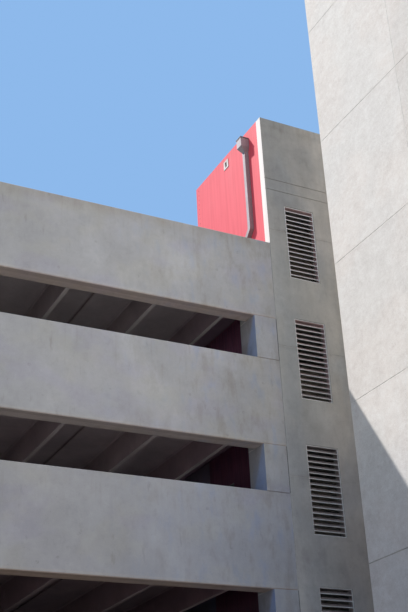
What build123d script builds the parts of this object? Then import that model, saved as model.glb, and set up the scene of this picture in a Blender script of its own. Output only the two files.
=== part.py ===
"""Multi storey car park in precast concrete.

Four parking decks of double tees span between L-shaped spandrel beams, which hang on piers along the
front and the rear. A stair core with louvred vents and a red side wall closes the right end of the front.
A taller lift tower stands before the core, and link bridges join the two at every deck.

X runs to the right along the front, Y into the building and Z up. The origin is the middle of the whole
footprint, on the ground. All sizes are in millimetres.
"""

import os

from build123d import *

os.makedirs("parts", exist_ok=True)

# Storeys
deck_count = 4
storey_height = 3050
ground_headroom = 3232  # ground to the underside of the lowest band of spandrels
spandrel_height = 2018

# Plan
bay_count = 3
tees_per_bay = 3
building_depth = 18288  # outer face of the front to outer face of the rear

# Precast panels
wall_thickness = 200
panel_joint = 18  # open joint between neighbouring panels
arris = 18  # chamfer along the outer edges of a spandrel
groove_width = 22
groove_depth = 12

# Spandrel ledges, which carry the ends of the double tees
ledge_width = 181
ledge_height = 190

# Piers
pier_width = 550
pier_depth = 667

# Double tees
tee_module = 3711
tee_depth = 711
flange_thickness = 102
stem_spacing = 1680
stem_width_low = 95
stem_width_high = 146
stem_haunch = 40
tee_end_gap = 25  # from the end of a tee to the web of the spandrel

# Stair core
core_width = 5486
core_depth = 3574
core_rise = 3650  # above the parapet of the top deck
core_upstand = 400  # parapet round the core's roof
roof_thickness = 200
floor_thickness = 200

# Doorways of the core, the tower and the links
door_height = 2090
side_door_width = 900
side_door_start = 2400  # from the front face to the near jamb of the core's side doorways
link_door_width = 1200

# Louvred vents
louvre_width = 817
louvre_height = 1984
louvre_edge = 489  # from the core's corner to the nearer jamb
louvre_head_rise = 1140  # head of the highest louvre above the top deck's parapet
louvre_recess = 15
louvre_frame_width = 24
louvre_frame_depth = 110
blade_count = 15
blade_pitch = 125.7
blade_start = 62  # from the sill of the frame to the lowest blade
blade_lip = 16
blade_run = 62
blade_sheet = 6

# Grooves across the core's front
pour_width = 12
pour_depth = 6
pour_joint_rise = 382  # highest pour joint above the top deck's parapet
reveal_rises = (1525, 1832)  # pair of decorative reveals above the parapet

# Roof drainage on the red wall
head_width = 220
head_projection = 232
head_box_height = 270
head_taper_height = 130
head_centre = 718  # from the front face
head_freeboard = 160  # top of the rainwater head above the core's roof
head_rim = 10
head_rim_height = 24
sheet_thickness = 4
pipe_projection = 115
pipe_width = 110
pipe_bend_rise = 763  # start of the swan neck above the top deck's parapet
pipe_offset = 380  # how far the swan neck carries the pipe towards the rear
pipe_foot_gap = 150  # open end of the pipe above the top deck
scupper_width = 243
scupper_height = 248
scupper_start = 1697  # from the front face
scupper_slot_width = 84
scupper_slot_height = 148
scupper_proud = 14
outlet_size = 150  # width and height of the outlet behind the rainwater head

# Lift tower
tower_width = 5486
tower_depth = 5480
tower_offset = 323  # how far the tower's left face stands left of the core's
tower_gap = 2893  # from the front of the car park to the back of the tower
tower_storeys = 7
tower_upstand = 350
tower_panels = 2  # panels side by side in each face of the tower

# Link bridges
link_parapet_height = 1100
link_parapet_thickness = 150

# Overall layout, worked out from the sizes above
bay_length = tees_per_bay * tee_module
block_length = bay_count * bay_length + wall_thickness  # left end to the core's side wall
core_x = (block_length - max(core_width, tower_width - tower_offset)) / 2
left_x = core_x - block_length
front_y = (tower_gap + tower_depth - building_depth) / 2
rear_y = front_y + building_depth
band_lows = [ground_headroom + level * storey_height for level in range(deck_count)]
deck_tops = [low + ledge_height + tee_depth for low in band_lows]
parapet_top = band_lows[-1] + spandrel_height
core_top = parapet_top + core_rise
core_roof_top = core_top - core_upstand
tower_top = tower_storeys * storey_height
tower_x = core_x - tower_offset
tower_rear_y = front_y - tower_gap
tower_front_y = tower_rear_y - tower_depth
link_door_x = core_x + (core_width - link_door_width) / 2
floor_levels = [0] + deck_tops

LOW = (Align.MIN, Align.MIN)
LOW_3D = (Align.MIN, Align.MIN, Align.MIN)


def save(piece, label):
    """Name a finished piece and write it as its own STEP file."""
    piece.part.label = label
    export_step(piece.part, f"parts/{label}.step")


def block(x, y, z, mode=Mode.ADD):
    """Add or cut a plain block between the low and high values of each axis."""
    with Locations((x[0], y[0], z[0])):
        Box(x[1] - x[0], y[1] - y[0], z[1] - z[0], align=LOW_3D, mode=mode)


def cut_grooves_x(x, y_face, outward, heights, width=groove_width, depth=groove_depth):
    """Cut level grooves into a face that runs along X. outward is the Y direction the face looks."""
    for height in heights:
        y = sorted((y_face, y_face - outward * depth))
        block(x, y, (height - width / 2, height + width / 2), Mode.SUBTRACT)


def cut_grooves_y(x_face, outward, y, heights):
    """Cut level grooves into a face that runs along Y. outward is the X direction the face looks."""
    for height in heights:
        x = sorted((x_face, x_face - outward * groove_depth))
        block(x, y, (height - groove_width / 2, height + groove_width / 2), Mode.SUBTRACT)


def lintel_heights(top):
    """Low and high ends of each solid stretch of wall over the doorways, from the ground to the top."""
    heads = [level + door_height for level in floor_levels]
    return list(zip(heads, floor_levels[1:] + [top]))


# Piers: a column behind the webs, with a lug that comes forward to the face below each band
front_pier_lefts = [core_x - panel_joint - pier_width]
rear_pier_lefts = [core_x + wall_thickness - pier_width]
for bay in range(1, bay_count):
    joint_middle = core_x - bay * bay_length - panel_joint / 2
    front_pier_lefts.append(joint_middle - pier_width / 2)
    rear_pier_lefts.append(joint_middle - pier_width / 2)
front_pier_lefts.append(left_x)
rear_pier_lefts.append(left_x)

lug_ranges = [(0, band_lows[0])]
for low in band_lows[:-1]:
    lug_ranges.append((low + spandrel_height, low + storey_height))


def make_pier(label, left, face_y, inward):
    """One pier from the ground to the top deck, as its side outline carried across its width."""
    toward = Align.MIN if inward > 0 else Align.MAX
    with BuildPart() as pier:
        with BuildSketch(Plane.YZ.offset(left)):
            with Locations((face_y + inward * wall_thickness, 0)):
                Rectangle(pier_depth - wall_thickness, deck_tops[-1], align=(toward, Align.MIN))
            for low, high in lug_ranges:
                with Locations((face_y, low)):
                    Rectangle(wall_thickness, high - low, align=(toward, Align.MIN))
        extrude(amount=pier_width)
    save(pier, label)


for number, left in enumerate(front_pier_lefts, start=1):
    make_pier(f"front_pier_{number}", left, front_y, 1)
for number, left in enumerate(rear_pier_lefts, start=1):
    make_pier(f"rear_pier_{number}", left, rear_y, -1)


# Spandrels: L-shaped beams, one to a bay, whose webs pass before the piers
def make_spandrels(label, face_y, inward, low, right_end, pier_lefts):
    """One band of beams. The ledges stop clear of the piers, and the webs stand on the piers' lugs."""
    toward = Align.MIN if inward > 0 else Align.MAX
    with BuildPart() as band:
        for bay in range(bay_count):
            right = right_end if bay == 0 else core_x - panel_joint - bay * bay_length
            left = left_x if bay == bay_count - 1 else core_x - (bay + 1) * bay_length
            with BuildSketch(Plane.YZ.offset(left)) as web:
                with Locations((face_y, low)):
                    Rectangle(wall_thickness, spandrel_height, align=(toward, Align.MIN))
                outer = web.vertices().group_by(Axis.X)[0 if inward > 0 else -1]
                chamfer(outer, arris)
            extrude(amount=right - left)
            ledge_left = pier_lefts[bay + 1] + pier_width + panel_joint
            ledge_right = pier_lefts[bay] - panel_joint
            with BuildSketch(Plane.YZ.offset(ledge_left)):
                with Locations((face_y + inward * wall_thickness, low)):
                    Rectangle(ledge_width, ledge_height, align=(toward, Align.MIN))
            extrude(amount=ledge_right - ledge_left)
    save(band, label)


def make_end_spandrels(label, low):
    """The plain bands of both ends, from pier to pier, and from the core to the pier on the right."""
    spans = [
        (left_x, 0, front_y + pier_depth),
        (core_x, -1, front_y + core_depth),
    ]
    with BuildPart() as band:
        for x, outer_group, start in spans:
            with BuildSketch(Plane.XZ.offset(-(rear_y - pier_depth))) as web:
                with Locations((x, low)):
                    Rectangle(wall_thickness, spandrel_height, align=LOW)
                chamfer(web.vertices().group_by(Axis.X)[outer_group], arris)
            extrude(amount=rear_y - pier_depth - start)
    save(band, label)


for number, low in enumerate(band_lows, start=1):
    front_end = core_x - panel_joint
    make_spandrels(f"front_spandrels_{number}", front_y, 1, low, front_end, front_pier_lefts)
    rear_end = core_x + wall_thickness
    make_spandrels(f"rear_spandrels_{number}", rear_y, -1, low, rear_end, rear_pier_lefts)
    make_end_spandrels(f"end_spandrels_{number}", low)


# Decks: double tees side by side, notched round the piers
def make_deck(label, top):
    """One deck: the section of its tees, carried from ledge to ledge."""
    low = top - tee_depth
    tee_front = front_y + wall_thickness + tee_end_gap
    tee_rear = rear_y - wall_thickness - tee_end_gap
    haunch_low = tee_depth - flange_thickness - stem_haunch
    half_low = stem_width_low / 2
    half_high = stem_width_high / 2
    stem = [
        (-half_low, 0),
        (half_low, 0),
        (half_high, haunch_low),
        (half_high + stem_haunch, haunch_low + stem_haunch),
        (-half_high - stem_haunch, haunch_low + stem_haunch),
        (-half_high, haunch_low),
    ]
    tee_width = tee_module - panel_joint
    middles = [core_x - panel_joint - tee_width / 2 - tee * tee_module for tee in range(bay_count * tees_per_bay)]
    stem_spots = [(middle + side * stem_spacing / 2, low) for middle in middles for side in (-1, 1)]
    with BuildPart() as deck:
        with BuildSketch(Plane.XZ.offset(-tee_rear)):
            with Locations(*[(middle, top) for middle in middles]):
                Rectangle(tee_width, flange_thickness, align=(Align.CENTER, Align.MAX))
            with Locations(*stem_spots):
                Polygon(*stem)
        extrude(amount=tee_rear - tee_front)
        notch_width = pier_width + 2 * panel_joint
        notch_depth = pier_depth + panel_joint
        with BuildSketch(Plane.XY.offset(top)):
            for left in front_pier_lefts:
                with Locations((left - panel_joint, front_y)):
                    Rectangle(notch_width, notch_depth, align=LOW)
            for left in rear_pier_lefts:
                with Locations((left - panel_joint, rear_y)):
                    Rectangle(notch_width, notch_depth, align=(Align.MIN, Align.MAX))
        extrude(amount=-flange_thickness, mode=Mode.SUBTRACT)
    save(deck, label)


for number, top in enumerate(deck_tops, start=1):
    make_deck(f"deck_{number}", top)


# Stair core: front panels with the louvre openings, and lintels over the link doorways
core_right = core_x + core_width
core_rear_y = front_y + core_depth
inner_left = core_x + wall_thickness
inner_right = core_right - wall_thickness
inner_front = front_y + wall_thickness
inner_rear = core_rear_y - wall_thickness
wall_front = (front_y, inner_front)
louvre_heads = [parapet_top + louvre_head_rise - level * storey_height for level in range(deck_count + 1)]
louvre_lows = [head - louvre_height for head in louvre_heads]
louvre_lefts = (core_x + louvre_edge, core_right - louvre_edge - louvre_width)
reveals = [parapet_top + rise for rise in reveal_rises]
pour_joints = [parapet_top + pour_joint_rise - level * storey_height for level in range(deck_count + 1)]


def make_front_panel(label, x, louvre_left):
    """One side of the core's front, with its column of louvre openings."""
    with BuildPart() as panel:
        block(x, wall_front, (0, core_top))
        for low in louvre_lows:
            block((louvre_left, louvre_left + louvre_width), wall_front, (low, low + louvre_height),
                  Mode.SUBTRACT)
        cut_grooves_x(x, front_y, -1, reveals)
        cut_grooves_x(x, front_y, -1, pour_joints, pour_width, pour_depth)
    save(panel, label)


make_front_panel("core_front_left_panel", (core_x, link_door_x), louvre_lefts[0])
make_front_panel("core_front_right_panel", (link_door_x + link_door_width, core_right), louvre_lefts[1])

with BuildPart() as core_front_lintels:
    link_door_span = (link_door_x, link_door_x + link_door_width)
    for low, high in lintel_heights(core_top):
        block(link_door_span, wall_front, (low, high))
    cut_grooves_x(link_door_span, front_y, -1, reveals)
    cut_grooves_x(link_door_span, front_y, -1, pour_joints, pour_width, pour_depth)
save(core_front_lintels, "core_front_lintels")


# Stair core: the red side wall, the other walls, the floors and the roof
side_wall = (core_x, inner_left)
side_door = (front_y + side_door_start, front_y + side_door_start + side_door_width)
head_middle_y = front_y + head_centre
head_top = core_roof_top + head_freeboard
scupper_y = front_y + scupper_start
slot_y = scupper_y + (scupper_width - scupper_slot_width) / 2
slot_z = core_roof_top + (scupper_height - scupper_slot_height) / 2

with BuildPart() as core_side_wall:
    block(side_wall, (inner_front, side_door[0]), (0, core_top))
    block(side_wall, (side_door[1], core_rear_y), (0, core_top))
    # Outlet behind the rainwater head
    block(side_wall, (head_middle_y - outlet_size / 2, head_middle_y + outlet_size / 2),
          (core_roof_top, core_roof_top + outlet_size), Mode.SUBTRACT)
    # Overflow behind the scupper plate
    block(side_wall, (slot_y, slot_y + scupper_slot_width), (slot_z, slot_z + scupper_slot_height),
          Mode.SUBTRACT)
save(core_side_wall, "core_side_wall")

with BuildPart() as core_side_lintels:
    for low, high in lintel_heights(core_top):
        block(side_wall, side_door, (low, high))
save(core_side_lintels, "core_side_lintels")

with BuildPart() as core_far_wall:
    block((inner_right, core_right), (inner_front, core_rear_y), (0, core_top))
save(core_far_wall, "core_far_wall")

with BuildPart() as core_rear_wall:
    block((inner_left, inner_right), (inner_rear, core_rear_y), (0, core_top))
save(core_rear_wall, "core_rear_wall")

with BuildPart() as core_floors:
    for top in deck_tops:
        block((inner_left, inner_right), (inner_front, inner_rear), (top - floor_thickness, top))
save(core_floors, "core_floors")

with BuildPart() as core_roof:
    block((inner_left, inner_right), (inner_front, inner_rear), (core_roof_top - roof_thickness, core_roof_top))
save(core_roof, "core_roof")


# Louvred vents: a frame set back in each opening, with rain-shedding blades that slope down to the outside
with BuildPart() as core_louvres:
    frame_y = front_y + louvre_recess
    inner_width = louvre_width - 2 * louvre_frame_width
    inner_height = louvre_height - 2 * louvre_frame_width
    blade = [
        (0, 0),
        (blade_sheet, 0),
        (blade_sheet, blade_lip),
        (blade_sheet + blade_run, blade_lip + blade_run),
        (blade_run, blade_lip + blade_run),
        (0, blade_lip),
    ]
    frame_spots = [(left + louvre_width / 2, low + louvre_height / 2) for left in louvre_lefts for low in louvre_lows]
    with BuildSketch(Plane.XZ.offset(-frame_y)):
        with Locations(*frame_spots):
            Rectangle(louvre_width, louvre_height)
            Rectangle(inner_width, inner_height, mode=Mode.SUBTRACT)
    extrude(amount=-louvre_frame_depth)
    blade_spots = [(frame_y, low + louvre_frame_width + blade_start + row * blade_pitch)
                   for low in louvre_lows for row in range(blade_count)]
    for left in louvre_lefts:
        with BuildSketch(Plane.YZ.offset(left + louvre_frame_width)):
            with Locations(*blade_spots):
                Polygon(*blade)
        extrude(amount=inner_width)
save(core_louvres, "core_louvres")


# Roof drainage: rainwater head, rectangular downpipe with a swan neck, and the scupper plate
with BuildPart() as rainwater_head:
    head_x = core_x - head_projection / 2
    pipe_x = core_x - pipe_projection / 2
    box_low = head_top - head_box_height
    taper_low = box_low - head_taper_height
    with BuildSketch(Plane.XY.offset(box_low)):
        with Locations((head_x, head_middle_y)):
            Rectangle(head_projection, head_width)
    extrude(amount=head_box_height)
    with BuildSketch(Plane.XY.offset(box_low)):
        with Locations((head_x, head_middle_y)):
            Rectangle(head_projection, head_width)
    with BuildSketch(Plane.XY.offset(taper_low)):
        with Locations((pipe_x, head_middle_y)):
            Rectangle(pipe_projection, pipe_width)
    loft()
    open_ends = rainwater_head.faces().sort_by(Axis.Z)
    offset(amount=-sheet_thickness, openings=[open_ends[0], open_ends[-1]])
    with BuildSketch(Plane.XY.offset(head_top - head_rim_height)):
        with Locations((core_x, head_middle_y)):
            rim_align = (Align.MAX, Align.CENTER)
            Rectangle(head_projection + head_rim, head_width + 2 * head_rim, align=rim_align)
            with Locations((-sheet_thickness, 0)):
                Rectangle(head_projection - 2 * sheet_thickness, head_width - 2 * sheet_thickness,
                          align=rim_align, mode=Mode.SUBTRACT)
    extrude(amount=head_rim_height)
save(rainwater_head, "rainwater_head")

with BuildPart() as downpipe:
    bend_top = parapet_top + pipe_bend_rise
    foot = deck_tops[-1] + pipe_foot_gap
    bend_low_y = head_middle_y + pipe_offset
    for width, projection, mode in (
        (pipe_width, pipe_projection, Mode.ADD),
        (pipe_width - 2 * sheet_thickness, pipe_projection - 2 * sheet_thickness, Mode.SUBTRACT),
    ):
        inset = (pipe_projection - projection) / 2
        with BuildSketch(Plane.YZ.offset(core_x - inset)):
            with BuildLine():
                Polyline((head_middle_y, taper_low), (head_middle_y, bend_top),
                         (bend_low_y, bend_top - pipe_offset), (bend_low_y, foot))
            trace(line_width=width)
        extrude(amount=-projection, mode=mode)
save(downpipe, "downpipe")

with BuildPart() as roof_scupper:
    with BuildSketch(Plane.YZ.offset(core_x)):
        with Locations((scupper_y, core_roof_top)):
            Rectangle(scupper_width, scupper_height, align=LOW)
        with Locations((slot_y, slot_z)):
            Rectangle(scupper_slot_width, scupper_slot_height, align=LOW, mode=Mode.SUBTRACT)
    extrude(amount=-scupper_proud)
save(roof_scupper, "roof_scupper")


# Lift tower: storey-high panels, marked by grooves, round a hollow shaft
tower_right = tower_x + tower_width
tower_inner_left = tower_x + wall_thickness
tower_inner_right = tower_right - wall_thickness
tower_inner_front = tower_front_y + wall_thickness
tower_inner_rear = tower_rear_y - wall_thickness
tower_joints = [storey * storey_height for storey in range(1, tower_storeys)]
tower_roof_top = tower_top - tower_upstand


def make_tower_side(label, x, face_x, outward):
    """A side wall of the tower, over its full depth."""
    with BuildPart() as wall:
        block(x, (tower_front_y, tower_rear_y), (0, tower_top))
        cut_grooves_y(face_x, outward, (tower_front_y, tower_rear_y), tower_joints)
        groove_x = sorted((face_x, face_x - outward * groove_depth))
        for panel in range(1, tower_panels):
            middle = tower_front_y + panel * tower_depth / tower_panels
            block(groove_x, (middle - groove_width / 2, middle + groove_width / 2), (0, tower_top),
                  Mode.SUBTRACT)
    save(wall, label)


make_tower_side("tower_left_wall", (tower_x, tower_inner_left), tower_x, -1)
make_tower_side("tower_right_wall", (tower_inner_right, tower_right), tower_right, 1)

with BuildPart() as tower_front_wall:
    block((tower_inner_left, tower_inner_right), (tower_front_y, tower_inner_front), (0, tower_top))
    cut_grooves_x((tower_inner_left, tower_inner_right), tower_front_y, -1, tower_joints)
    for panel in range(1, tower_panels):
        middle = tower_x + panel * tower_width / tower_panels
        block((middle - groove_width / 2, middle + groove_width / 2),
              (tower_front_y, tower_front_y + groove_depth), (0, tower_top), Mode.SUBTRACT)
save(tower_front_wall, "tower_front_wall")

with BuildPart() as tower_rear_wall:
    for x in ((tower_inner_left, link_door_span[0]), (link_door_span[1], tower_inner_right)):
        block(x, (tower_inner_rear, tower_rear_y), (0, tower_top))
        cut_grooves_x(x, tower_rear_y, 1, tower_joints)
save(tower_rear_wall, "tower_rear_wall")

with BuildPart() as tower_rear_lintels:
    for low, high in lintel_heights(tower_top):
        block(link_door_span, (tower_inner_rear, tower_rear_y), (low, high))
    cut_grooves_x(link_door_span, tower_rear_y, 1, tower_joints)
save(tower_rear_lintels, "tower_rear_lintels")

with BuildPart() as tower_floors:
    for top in deck_tops:
        block((tower_inner_left, tower_inner_right), (tower_inner_front, tower_inner_rear),
              (top - floor_thickness, top))
save(tower_floors, "tower_floors")

with BuildPart() as tower_roof:
    block((tower_inner_left, tower_inner_right), (tower_inner_front, tower_inner_rear),
          (tower_roof_top - roof_thickness, tower_roof_top))
save(tower_roof, "tower_roof")


# Link bridges: a slab at every deck, with a parapet along each side
link_left = link_door_span[0] - link_parapet_thickness
link_right = link_door_span[1] + link_parapet_thickness

with BuildPart() as link_slabs:
    for top in deck_tops:
        block((link_left, link_right), (tower_rear_y, front_y), (top - floor_thickness, top))
save(link_slabs, "link_slabs")

with BuildPart() as link_parapets:
    for top in deck_tops:
        for left in (link_left, link_door_span[1]):
            block((left, left + link_parapet_thickness), (tower_rear_y, front_y),
                  (top, top + link_parapet_height))
save(link_parapets, "link_parapets")
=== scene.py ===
import math

import bmesh
import bpy
from mathutils import Matrix, Vector


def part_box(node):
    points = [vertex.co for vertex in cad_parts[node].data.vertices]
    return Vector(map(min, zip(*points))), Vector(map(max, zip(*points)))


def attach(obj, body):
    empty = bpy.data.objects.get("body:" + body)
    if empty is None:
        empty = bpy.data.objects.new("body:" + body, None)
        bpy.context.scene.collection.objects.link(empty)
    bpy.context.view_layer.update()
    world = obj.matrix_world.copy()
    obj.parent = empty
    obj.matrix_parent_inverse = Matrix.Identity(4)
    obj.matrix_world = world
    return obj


# Looks of a precast concrete car park. The frame holds every main solid, and this script finishes each of
# them and adds the joint sealant and the small fixings. X runs along the front, Y into the building, Z up.
# All sizes are in metres, and heights are above the ground.

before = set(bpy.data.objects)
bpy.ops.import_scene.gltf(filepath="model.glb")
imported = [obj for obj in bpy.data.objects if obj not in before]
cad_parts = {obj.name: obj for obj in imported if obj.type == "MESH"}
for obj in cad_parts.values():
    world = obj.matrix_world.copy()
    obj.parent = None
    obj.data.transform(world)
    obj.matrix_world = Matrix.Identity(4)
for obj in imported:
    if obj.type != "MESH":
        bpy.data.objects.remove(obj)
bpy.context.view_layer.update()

# Places read from the frame
band_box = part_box("front_spandrels_1")
front_y = band_box[0].y
rear_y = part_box("rear_spandrels_1")[1].y
lane_middle = (front_y + rear_y) / 2
band_low = band_box[0].z
band_height = band_box[1].z - band_low
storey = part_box("front_spandrels_2")[0].z - band_low
storeys = 4
parapet_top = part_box("front_spandrels_4")[1].z
deck_low, deck_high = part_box("deck_1")
deck_top = deck_high.z
top_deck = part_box("deck_4")[1].z
core_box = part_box("core_side_wall")
core_x = core_box[0].x
core_top = core_box[1].z
core_rear_y = core_box[1].y
louvre_low, louvre_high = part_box("core_louvres")
tower_low, tower_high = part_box("tower_left_wall")
tower_joint = 3.05  # from one level joint of the tower to the next
wall_thickness = 0.2
pour_rise = 0.382  # from the parapet's top up to a pour joint of the core's front
pour_joint = parapet_top + pour_rise - storeys * storey  # the lowest one
hair = 0.005  # a margin about the place of a face

# Precast joints
joint_width = 0.018
tee_width = 3.711  # one double tee and its joint
tees_per_bay = 3
bay_count = 3
bay_length = tees_per_bay * tee_width


class Value:
    """A socket in a node tree. Python's operators on it add Math nodes."""

    def __init__(self, graph, socket):
        self.graph = graph
        self.socket = socket

    def maths(self, operation, *others):
        values = dict(enumerate((self, *others)))
        return self.graph.node("ShaderNodeMath", {"operation": operation}, values)

    def reflected(self, operation, other):
        return self.graph.node("ShaderNodeMath", {"operation": operation}, {0: other, 1: self})

    def __add__(self, other):
        return self.maths("ADD", other)

    __radd__ = __add__

    def __sub__(self, other):
        return self.maths("SUBTRACT", other)

    def __rsub__(self, other):
        return self.reflected("SUBTRACT", other)

    def __mul__(self, other):
        return self.maths("MULTIPLY", other)

    __rmul__ = __mul__

    def __truediv__(self, other):
        return self.maths("DIVIDE", other)

    def __mod__(self, other):
        return self.maths("FLOORED_MODULO", other)

    def __abs__(self):
        return self.maths("ABSOLUTE")

    def __lt__(self, other):
        return self.maths("LESS_THAN", other)

    def __gt__(self, other):
        return self.maths("GREATER_THAN", other)

    def whole(self):
        return self.maths("FLOOR")

    def at_most(self, other):
        return self.maths("MINIMUM", other)

    def at_least(self, other):
        return self.maths("MAXIMUM", other)

    def fade(self, low, high):
        """0 at low, 1 at high and smooth between. With low above high it falls instead."""
        if low > high:
            return 1 - self.fade(high, low)
        settings = {"interpolation_type": "SMOOTHSTEP"}
        inputs = {"Value": self, "From Min": low, "From Max": high}
        return self.graph.node("ShaderNodeMapRange", settings, inputs)

    def near(self, middle, reach):
        """1 at the middle, falling to 0 at that reach on both sides."""
        return abs(self - middle).fade(reach, 0)

    def near_ends(self, length, reach):
        """1 at 0 and at the length, falling to 0 at that reach inside them."""
        return self.near(length, reach).at_least(self.near(0, reach))


class Graph:
    """A node tree under construction."""

    def __init__(self, tree):
        self.tree = tree

    def node(self, kind, settings=None, inputs=None, output=0):
        """Add a node: its settings first, then the value or link of each socket."""
        made = self.tree.nodes.new(kind)
        for name, value in (settings or {}).items():
            setattr(made, name, value)
        for key, value in (inputs or {}).items():
            socket = made.inputs[key] if isinstance(key, int) else self.socket(made, key)
            if isinstance(value, Value):
                self.tree.links.new(value.socket, socket)
            else:
                socket.default_value = value
        return Value(self, made.outputs[output]) if len(made.outputs) else None

    @staticmethod
    def socket(made, key):
        return next(found for found in made.inputs if key in (found.identifier, found.name) and found.enabled)


class Finish(Graph):
    """A procedural material. Its patterns read Object coordinates, in metres."""

    def __init__(self, name):
        self.material = bpy.data.materials.new(name)
        self.material.use_nodes = True
        super().__init__(self.material.node_tree)
        self.shader = self.tree.nodes["Principled BSDF"]
        self.place = self.node("ShaderNodeTexCoord", output=3)
        self.x, self.y, self.z = (self.node("ShaderNodeSeparateXYZ", None, {0: self.place}, axis)
                                  for axis in range(3))
        facing = self.node("ShaderNodeTexCoord", output=1)
        self.facing_x, self.facing_y, self.facing_z = (
            self.node("ShaderNodeSeparateXYZ", None, {0: facing}, axis) for axis in range(3))

    def faces_up(self):
        return self.facing_z.fade(0.5, 0.9)

    def faces_down(self):
        return self.facing_z.fade(-0.5, -0.9)

    def faces_left(self):
        return self.facing_x.fade(-0.5, -0.9)

    def faces_front(self):
        return self.facing_y.fade(-0.5, -0.9)

    def low_down(self, start, full):
        """0 above the start, 1 below the full height and smooth between."""
        return self.z.fade(start, full)

    def stretched(self, size, stretch=(1, 1, 1), seed=0):
        """Object coordinates on which a pattern of scale 1 has patches of that size."""
        scale = [1 / (size * axis) for axis in stretch]
        shift = (seed * 7.31, seed * 3.17, seed * 5.73)  # each seed reads another part of the pattern
        inputs = {0: self.place, 1: scale, 2: shift}
        return self.node("ShaderNodeVectorMath", {"operation": "MULTIPLY_ADD"}, inputs)

    def noise(self, size, stretch=(1, 1, 1), detail=3, roughness=0.5, seed=0):
        """Cloudy values about 0.5."""
        inputs = {"Vector": self.stretched(size, stretch, seed), "Scale": 1, "Detail": detail,
                  "Roughness": roughness}
        return self.node("ShaderNodeTexNoise", None, inputs)

    def dots(self, spacing, radius, seed=0):
        """1 inside round spots scattered one to a cell, 0 elsewhere."""
        inputs = {"Vector": self.stretched(spacing, seed=seed), "Scale": 1}
        distance = self.node("ShaderNodeTexVoronoi", None, inputs)
        return distance.fade(radius / spacing, radius / spacing * 0.6)

    def tone(self, *indices):
        """A steady random value from 0 to 1 for each set of whole numbers."""
        inputs = dict(enumerate(indices))
        cell = self.node("ShaderNodeCombineXYZ", None, inputs)
        return self.node("ShaderNodeTexWhiteNoise", None, {"Vector": cell})

    def mix(self, mask, under, over, kind="MIX"):
        """Lay one colour over another where the mask is 1."""
        inputs = {"Factor_Float": mask}
        for key, colour in (("A_Color", under), ("B_Color", over)):
            inputs[key] = colour if isinstance(colour, Value) else (*colour, 1)
        settings = {"data_type": "RGBA", "blend_type": kind}
        return self.node("ShaderNodeMix", settings, inputs, output=2)

    def tint(self, mask, under, factor):
        """Multiply a colour by a factor, or by one for each of its channels, where the mask is 1."""
        factor = factor if isinstance(factor, tuple) else (factor, factor, factor)
        return self.mix(mask, under, factor, "MULTIPLY")

    def finish(self, colour, roughness, height, depth, **constants):
        """Connect the shader. height is relief from 0 to 1, and depth its size in metres."""
        bump = self.node("ShaderNodeBump", None, {"Height": height, "Distance": depth, "Strength": 1})
        values = {"Base Color": colour, "Roughness": roughness, "Normal": bump, **constants}
        for name, value in values.items():
            socket = self.shader.inputs[name]
            if isinstance(value, Value):
                self.tree.links.new(value.socket, socket)
            else:
                socket.default_value = value
        return self.material


bare_concrete = (0.385, 0.375, 0.362), (0.345, 0.337, 0.326)  # pale and dark clouds of unpainted walls


def cast_surface(finish, pale, dark, cloud=1.6, contrast=1.0):
    """Colour and relief shared by all cast concrete: clouds, rain streaks, sandy grain and pin holes."""
    clouds = finish.noise(cloud, (1, 1, 0.8), detail=4, seed=1).fade(0.32, 0.68)
    colour = finish.mix(clouds, dark, pale)
    mottles = finish.noise(0.42, (1.2, 1, 0.9), detail=5, roughness=0.6, seed=8)
    colour = finish.tint(mottles.fade(0.52, 0.7) * (0.5 * contrast), colour, (0.885, 0.88, 0.885))
    colour = finish.tint(mottles.fade(0.48, 0.3) * (0.5 * contrast), colour, (1.10, 1.10, 1.09))
    streaks = finish.noise(0.2, (1, 1, 8), detail=4, seed=2).fade(0.45, 0.75) * (0.05 * contrast)
    colour = finish.mix(streaks, colour, (0.1, 0.1, 0.1))
    bloom = finish.noise(0.7, (1, 1, 1.5), detail=4, seed=3).fade(0.52, 0.72) * (0.12 * contrast)
    colour = finish.mix(bloom, colour, (0.72, 0.72, 0.71))
    smudges = finish.noise(0.24, (1, 1, 1.3), detail=5, roughness=0.6, seed=4).fade(0.6, 0.76)
    colour = finish.tint(smudges * (0.3 * contrast), colour, (0.76, 0.76, 0.77))
    flecks = finish.noise(0.11, (1, 1, 1.3), detail=5, roughness=0.7, seed=9)
    colour = finish.tint(flecks.fade(0.5, 0.68) * (0.5 * contrast), colour, (0.90, 0.90, 0.895))
    colour = finish.tint(flecks.fade(0.5, 0.32) * (0.5 * contrast), colour, (1.07, 1.07, 1.075))
    grain = finish.noise(0.012, detail=2, seed=5)
    colour = finish.tint(grain.fade(0.45, 0.7) * 0.35, colour, 0.84)
    holes = finish.dots(0.09, 0.005, seed=6)
    colour = finish.tint(holes * 0.8, colour, 0.45)
    relief = grain * 0.25 + finish.noise(0.35, detail=2, seed=7) * 0.6 - holes * 0.5
    return colour, relief


def darker_undersides(finish, colour):
    """Browner and darker on the faces that look down."""
    return finish.tint(finish.faces_down() * 0.4, colour, (0.70, 0.62, 0.56))


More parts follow.
